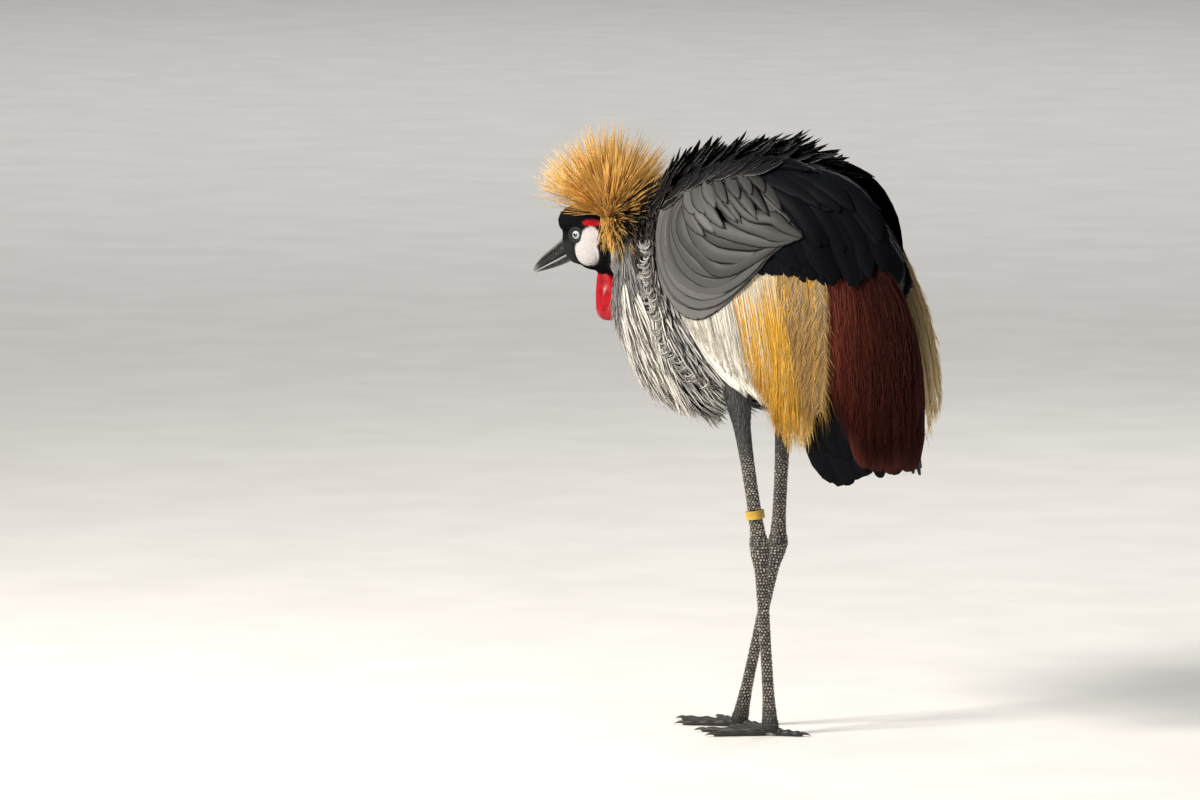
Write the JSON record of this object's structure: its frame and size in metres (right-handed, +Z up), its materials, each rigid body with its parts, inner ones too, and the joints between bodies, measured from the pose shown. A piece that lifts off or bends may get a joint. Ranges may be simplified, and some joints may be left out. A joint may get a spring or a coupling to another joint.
{
  "type": "grey crowned crane",
  "caption": "Life-size still grey crowned crane standing hunched with its head low and forward, with a bristle crest, folded wings and a plain ring on one leg.",
  "frame": {"origin": "on the floor, under the middle of the bird's box", "axes": "+Z up; the bird faces -X, and its left side is -Y"},
  "size_m": [0.565, 0.2142, 0.7193],
  "materials": {
    "bill_horn": "satin",
    "eye": "gloss",
    "face_plumage": "matt",
    "bristle_gold": "satin",
    "wattle_red": "satin",
    "plumage_pearl": "matt",
    "plumage_slate": "satin",
    "plumage_grey": "satin",
    "plumage_white": "matt",
    "plumage_gold": "matt",
    "plumage_chestnut": "matt",
    "plumage_black": "satin",
    "leg_scale": "satin",
    "claw_horn": "satin",
    "band_yellow": "satin"
  },
  "bodies": {
    "root": {"torso": "plumage_slate", "neck": "plumage_pearl", "head": "face_plumage", "bill_upper": "bill_horn", "bill_lower": "bill_horn", "eye_left": "eye", "eye_right": "eye", "crest": "bristle_gold", "wattle": "wattle_red", "wing_left": "plumage_grey", "wing_right": "plumage_grey", "tail": "plumage_black", "tibia_left": "leg_scale", "tibia_right": "leg_scale", "tarsus_left": "leg_scale", "tarsus_right": "leg_scale", "foot_left": "leg_scale", "foot_right": "leg_scale", "band_left": "band_yellow"}
  },
  "joints": []
}
